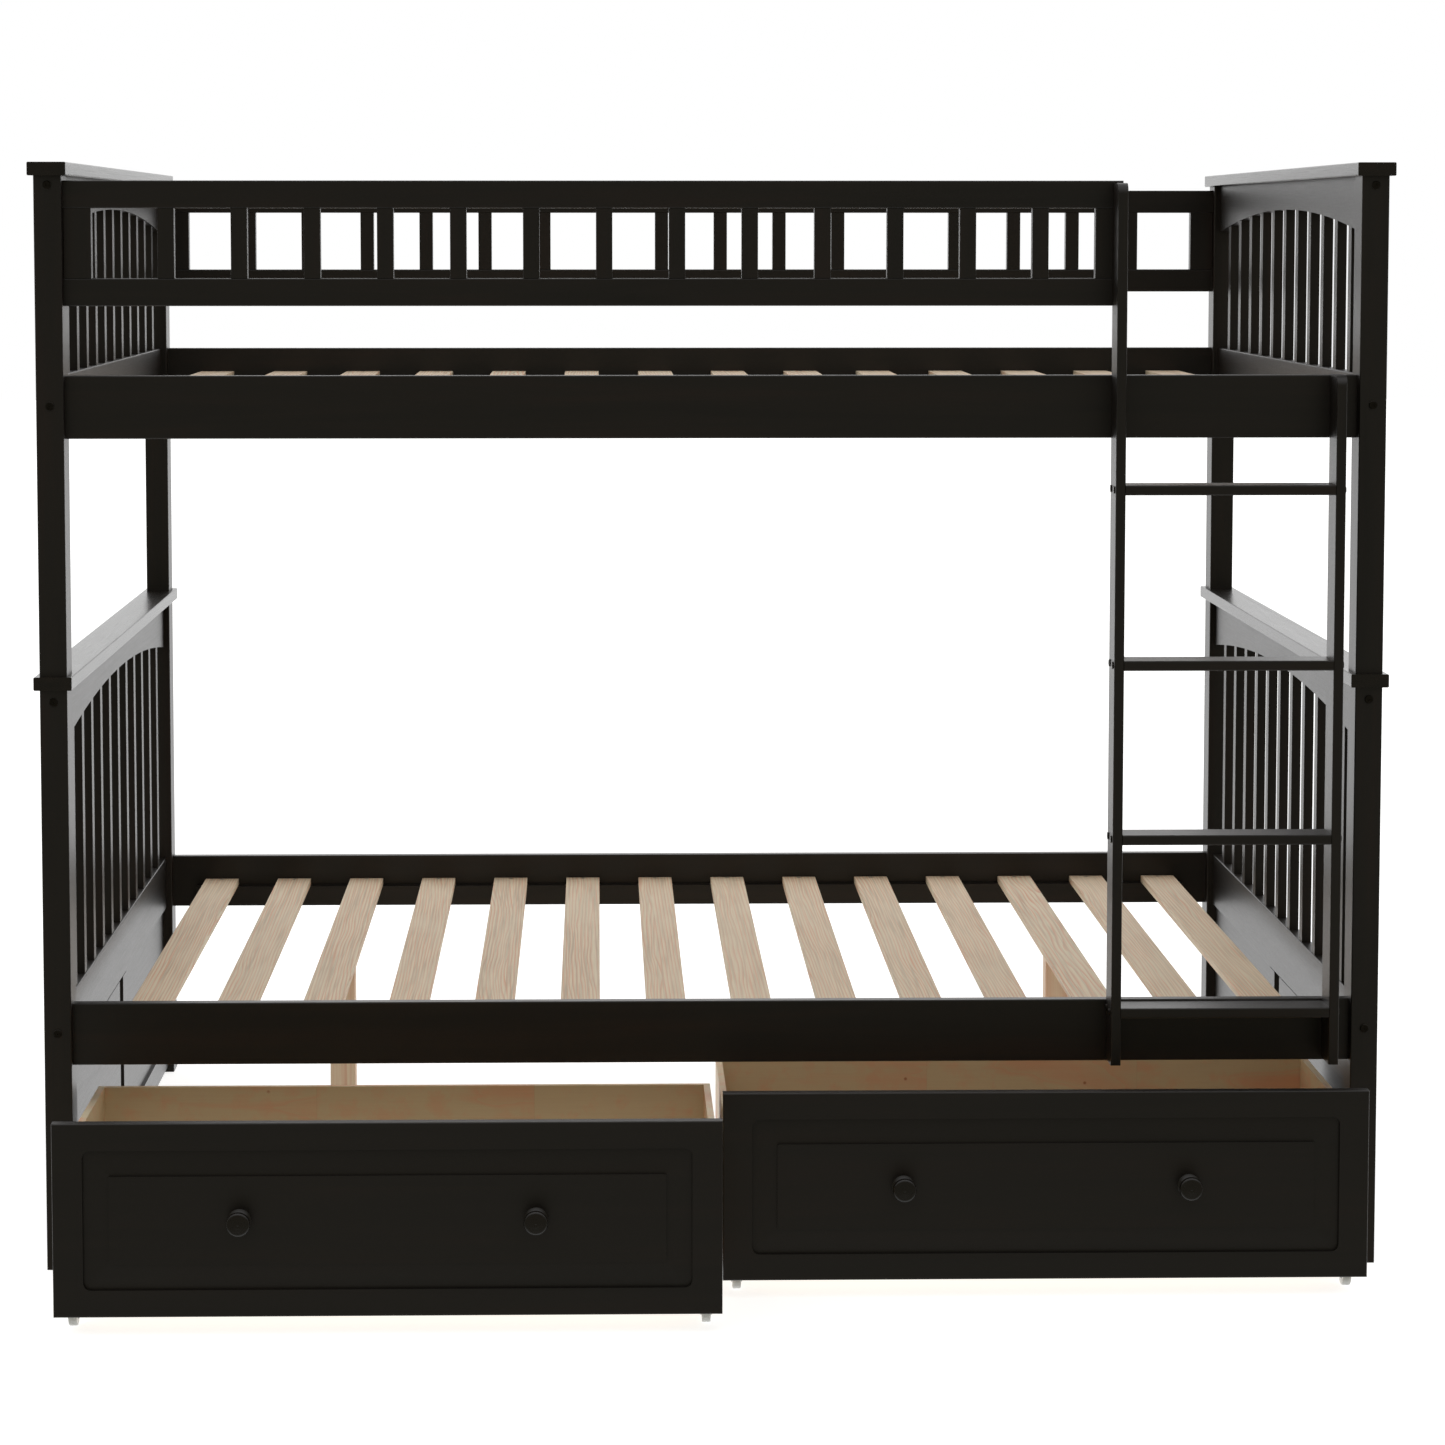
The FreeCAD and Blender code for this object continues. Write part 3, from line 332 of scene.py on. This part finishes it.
def drawer_board(graph, node):
    """Sealed softwood, jointed end to end from short pieces, with a salmon figure and small red knots."""
    low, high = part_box(node)
    x, y, z = graph.split(graph.position())
    from_middle = graph.math("ABSOLUTE", graph.math("SUBTRACT", x, (low[0] + high[0]) / 2))
    is_side = graph.math("GREATER_THAN", from_middle, (high[0] - low[0]) / 2 - BOX_SIDE)
    along = graph.blend(is_side, x, y)
    across = graph.blend(is_side, y, x)
    from_start = graph.math("DIVIDE", graph.math("SUBTRACT", along, low[0] + EDGE), BOX_LENGTH)
    cell = graph.math("FLOOR", graph.math("MULTIPLY", across, BOX_CELLS))
    own = graph.random(graph.join(graph.math("FLOOR", from_start), cell, is_side))
    shift = graph.split(graph.vector("MULTIPLY", own, (BOX_SPREAD, BOX_SPREAD, BOX_SPREAD)))
    moved_along = graph.math("ADD", along, shift[0])
    moved_up = graph.math("ADD", z, shift[1])
    place = (moved_along, across, moved_up)

    slow = stretched(graph, place, BOX_FIGURE_STRETCH)
    field = graph.noise(slow, BOX_FIGURES, detail=2.5, roughness=0.5, distortion=0.5)
    line = graph.math("FRACT", graph.math("MULTIPLY", field, BOX_LINES))
    edge = graph.range(line, (0.0, 1.0), (0.35, 1.0))
    share = graph.math("MULTIPLY", edge, graph.range(field, (0.51, 0.62)))
    tone = graph.mix(share, BOX_GROUND, BOX_FIGURE)
    blotch = graph.noise(graph.join(*place), BOX_BLOTCHES, detail=4.0, roughness=0.6)
    tone = graph.mix(graph.range(blotch, (0.50, 0.68), (0.0, 0.42)), tone, BOX_FIGURE)
    streak = fibres(graph, place, *BOX_FIBRES)
    tone = graph.mix(graph.range(streak, (0.4, 0.8), (0.0, 0.14)), tone, BOX_SEAM)

    knot = graph.cells(graph.join(moved_along, moved_up, 0.0), BOX_KNOTS)
    in_figure = graph.range(field, (0.48, 0.54), (0.0, 0.8))
    near_knot = graph.math("MULTIPLY", graph.range(knot, (0.024, 0.008)), in_figure)
    tone = graph.mix(near_knot, tone, BOX_KNOT)
    to_seam = graph.math("PINGPONG", from_start, 0.5)
    tone = graph.mix(graph.range(to_seam, (0.0026, 0.0010), (0.0, 0.20)), tone, BOX_SEAM)
    surface = graph.bump(streak, strength=0.08, distance=GRAIN_DEPTH)
    return graph.finish(Base_Color=tone, Roughness=BOX_ROUGHNESS, Normal=surface, IOR=BARE_IOR)


# ---- metal and nylon -----------------------------------------------------------------------------
def metal(graph, _node, colour):
    """Metal whose tone and gloss vary a little, with fine turning marks."""
    speck = graph.noise(graph.position(), STEEL_SPECKS, detail=3.0)
    dark = tuple(0.75 * level for level in colour[:3]) + (1,)
    tone = graph.ramp(speck, (0.3, dark), (0.7, colour))
    gloss = graph.range(speck, (0.3, 0.7), (STEEL_ROUGHNESS * 0.8, STEEL_ROUGHNESS * 1.2))
    surface = graph.bump(speck, strength=0.06, distance=FINE_DEPTH)
    return graph.finish(Base_Color=tone, Roughness=gloss, Normal=surface, Metallic=1.0)


def nylon(graph, _node):
    """Milky moulded nylon with faint flow marks."""
    flow = graph.noise(graph.position(), NYLON_FLOWS, detail=3.0, distortion=0.8)
    tone = graph.ramp(flow, (0.3, NYLON_DULL), (0.7, NYLON_PALE))
    gloss = graph.range(flow, (0.3, 0.7), NYLON_ROUGHNESS)
    speck = graph.noise(graph.position(), NYLON_SPECKS, detail=2.0)
    surface = graph.bump(speck, strength=0.05, distance=FINE_DEPTH)
    return graph.finish(
        Base_Color=tone, Roughness=gloss, Normal=surface,
        Subsurface_Weight=NYLON_SCATTER, Subsurface_Radius=NYLON_SCATTER_LENGTH, Subsurface_Scale=1.0,
    )


SLATS = {"pitch": PINE_PITCH, "pale": PINE_PALE, "band": PINE_BAND, "line": PINE_LINE, "fibre": PINE_FIBRE}
LEGS = {"pitch": LEG_PITCH, "pale": LEG_PALE, "band": LEG_PALE, "line": LEG_LINE, "fibre": LEG_LINE}
PLYWOOD = {"pitch": PLY_PITCH, "pale": PLY_PALE, "band": PLY_PALE, "line": PLY_LINE, "fibre": PLY_LINE}
SLOTS = {                      # what makes each slot's material, and its settings. The axis is the grain's.
    "espresso_posts": (espresso, {"axis": "Z"}),
    "espresso_caps": (espresso, {"axis": "Y", "gloss": CAP_ROUGHNESS}),
    "espresso_boards_y": (espresso, {"axis": "Y"}),
    "espresso_boards_x": (espresso, {"axis": "X"}),
    "espresso_uprights": (espresso, {"axis": "Z"}),
    "espresso_panels": (espresso, {"axis": "Y"}),
    "espresso_fronts": (espresso, {"axis": "X", "figure": FRONT_FIGURE}),
    "espresso_knobs": (espresso, {"axis": "Y", "figure": KNOB_FIGURE, "gloss": KNOB_ROUGHNESS}),
    "pine_slats": (pine, {"axis": "Y", **SLATS}),
    "pine_legs": (pine, {"axis": "Z", **LEGS}),
    "drawer_boards": (drawer_board, {}),
    "drawer_plywood": (pine, {"axis": "X", **PLYWOOD}),
    "black_steel": (metal, {"colour": BLACK_STEEL}),
    "zinc_steel": (metal, {"colour": ZINC_STEEL}),
    "nylon": (nylon, {}),
}


def dress_nodes():
    """A material of its own for every node, so that no two boards share their figure."""
    for part in frame["record"]["subparts"]:
        name = part["node"]
        make, settings = SLOTS[part["material_slot"]]
        material = make(Graph(bpy.data.materials.new(name)), name, **settings)
        mesh = frame["nodes"][name].data
        mesh.materials.clear()
        mesh.materials.append(material)


# ---- studio --------------------------------------------------------------------------------------
def studio_world():
    """White to the camera. To the bed: bright behind, dim in front, with a soft ceiling and a bounce."""
    world = bpy.data.worlds.new("studio")
    bpy.context.scene.world = world
    graph = Graph(world)
    _, depth, height = graph.split(graph.add("ShaderNodeTexCoord", output="Generated"))
    walls = graph.mix(graph.range(depth, FRONT_TO_BACK), STUDIO_FRONT, STUDIO_BACK)
    walls = graph.mix(graph.range(height, WALL_TO_TOP), walls, STUDIO_TOP)
    walls = graph.mix(graph.range(height, WALL_TO_BOUNCE), walls, STUDIO_BOUNCE)
    to_camera = graph.add("ShaderNodeLightPath", output="Is Camera Ray")
    background = graph.tree.nodes["Background"]
    graph.put(background.inputs["Color"], graph.mix(to_camera, walls, WHITE))


def floor():
    """A plain pale floor that the camera sees, and that neither lights the bed nor shows in its lacquer."""
    bpy.ops.mesh.primitive_plane_add(size=FLOOR_SIZE)
    plane = bpy.context.object
    plane.name = "studio_floor"
    graph = Graph(bpy.data.materials.new("studio_floor"))
    graph.finish(
        Base_Color=FLOOR_TONE, Roughness=FLOOR_ROUGHNESS, Emission_Color=WHITE, Emission_Strength=FLOOR_GLOW,
    )
    plane.data.materials.append(graph.owner)
    plane.visible_diffuse = False
    plane.visible_glossy = False


def camera():
    data = bpy.data.cameras.new("camera")
    data.lens = CAMERA_LENS
    data.sensor_width = CAMERA_SENSOR
    data.shift_x, data.shift_y = CAMERA_SHIFT
    data.dof.use_dof = False
    eye = bpy.data.objects.new("camera", data)
    eye.location = (CAMERA_X, FRONT_Y - CAMERA_DISTANCE, CAMERA_HEIGHT)
    eye.rotation_euler = (math.radians(90 - CAMERA_PITCH), 0, math.radians(-CAMERA_TURN))
    bpy.context.scene.collection.objects.link(eye)
    bpy.context.scene.camera = eye


dress_nodes()
studio_world()
floor()
camera()
bpy.context.scene.view_settings.view_transform = "Standard"
